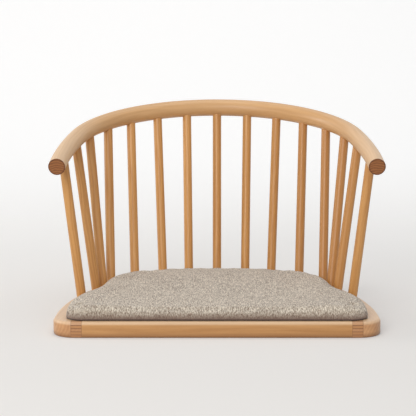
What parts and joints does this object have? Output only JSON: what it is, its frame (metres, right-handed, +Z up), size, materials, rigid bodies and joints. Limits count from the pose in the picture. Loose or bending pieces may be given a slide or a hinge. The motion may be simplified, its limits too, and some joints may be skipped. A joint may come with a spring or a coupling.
{
  "type": "floor chair",
  "caption": "Legless floor chair: a sloping bent hoop on turned spindles over a flat D-shaped finger-jointed wooden base with a thin upholstered seat pad.",
  "frame": {"origin": "on the floor, under the middle of the chair's bounding box", "axes": "+Z up, the open front of the chair towards -Y, the back towards +Y, +X to the right seen from the front"},
  "size_m": [0.5606, 0.5008, 0.3569],
  "materials": {
    "hoop_wood": "oiled beech, satin, darker end grain",
    "spindle_wood": "oiled beech, satin",
    "rail_wood": "oiled beech, satin, straight grain",
    "corner_wood": "oiled beech, satin, a little redder than the front rail",
    "plywood": "raw plywood",
    "foam": "soft polyurethane foam",
    "cover_cloth": "heather woven upholstery cloth, matte",
    "screw_steel": "zinc plated"
  },
  "bodies": {
    "root": {"hoop": "hoop_wood", "spindle_01": "spindle_wood", "spindle_02": "spindle_wood", "spindle_03": "spindle_wood", "spindle_04": "spindle_wood", "spindle_05": "spindle_wood", "spindle_06": "spindle_wood", "spindle_07": "spindle_wood", "spindle_08": "spindle_wood", "spindle_09": "spindle_wood", "spindle_10": "spindle_wood", "spindle_11": "spindle_wood", "spindle_12": "spindle_wood", "spindle_13": "spindle_wood", "spindle_14": "spindle_wood", "spindle_15": "spindle_wood", "front_rail": "rail_wood", "back_rail": "rail_wood", "side_rail_left": "corner_wood", "side_rail_right": "corner_wood", "back_corner_rail_left": "corner_wood", "back_corner_rail_right": "corner_wood", "seat_board": "plywood", "seat_foam": "foam", "seat_cover": "cover_cloth", "seat_screws": "screw_steel"}
  },
  "joints": []
}
